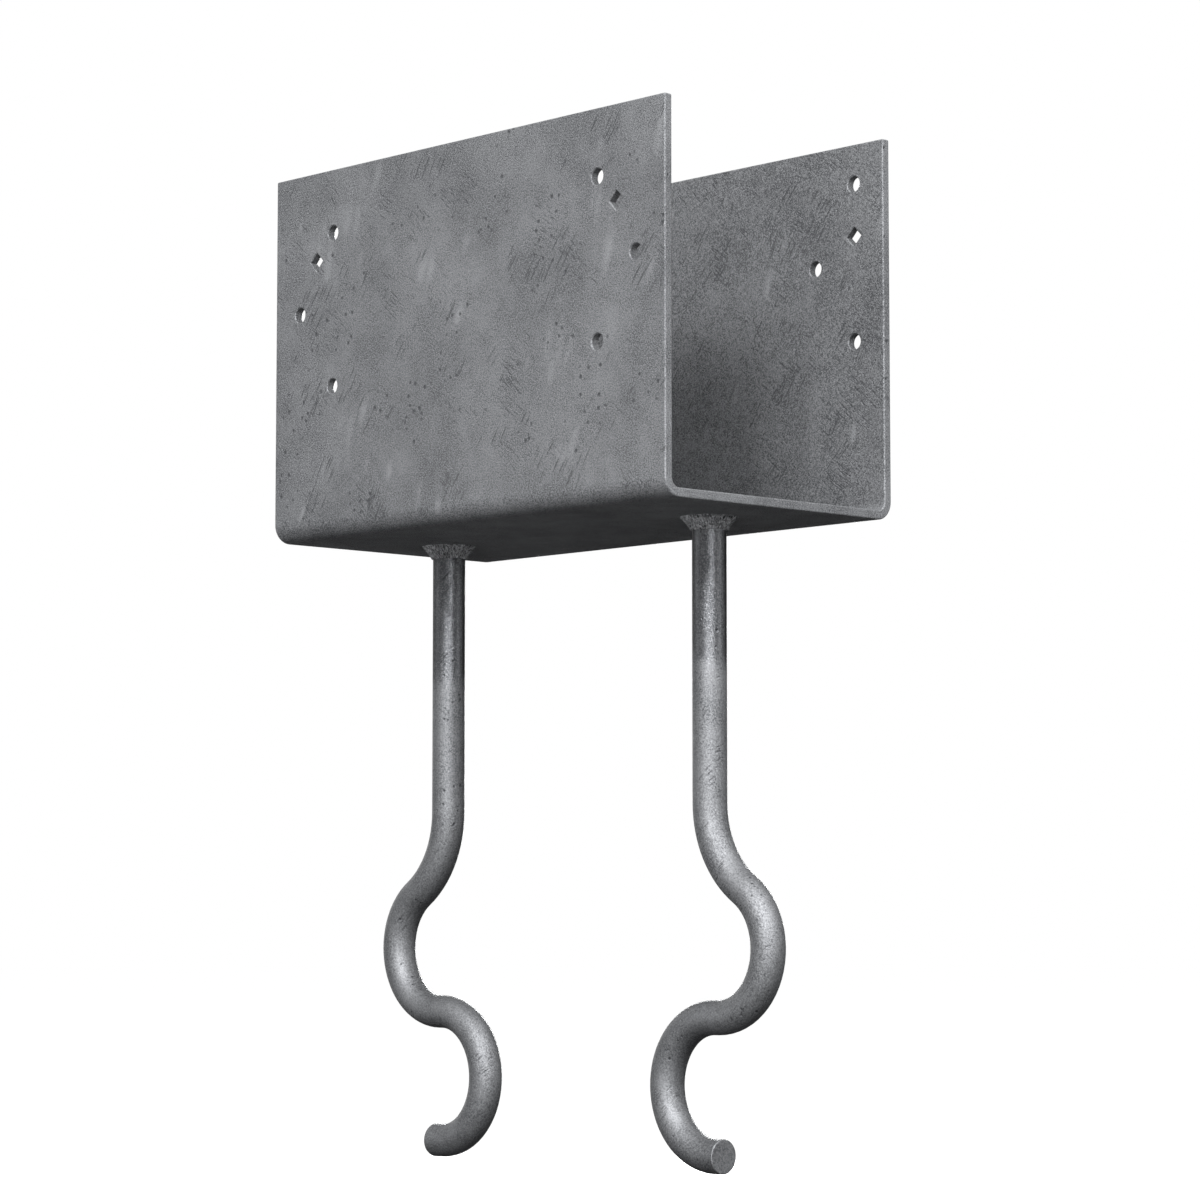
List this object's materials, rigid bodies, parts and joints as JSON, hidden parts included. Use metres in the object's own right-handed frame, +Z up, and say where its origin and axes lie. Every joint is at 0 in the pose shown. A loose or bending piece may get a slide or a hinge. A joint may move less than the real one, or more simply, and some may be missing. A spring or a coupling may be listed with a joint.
{
  "type": "column cap",
  "caption": "U-shaped steel saddle that seats a timber beam on a column top, with hooked round bars welded beneath it to be cast into the concrete.",
  "frame": {"origin": "centre of the seat's underside, the face that bears on the top of the column", "axes": "+X along the beam, +Y across the beam from the flange with the lower first hole row to the other flange, +Z up out of the column"},
  "size_m": [0.2794, 0.1488, 0.4863],
  "materials": {
    "galvanised_sheet": "hot-dip galvanised, matt mottled grey",
    "galvanised_bar": "hot-dip galvanised round bar, satin grey",
    "weld_bead": "fillet weld under rough zinc"
  },
  "bodies": {
    "root": {"saddle": "galvanised_sheet", "anchor_bar_left": "galvanised_bar", "anchor_bar_right": "galvanised_bar", "weld_left": "weld_bead", "weld_right": "weld_bead"}
  },
  "joints": []
}
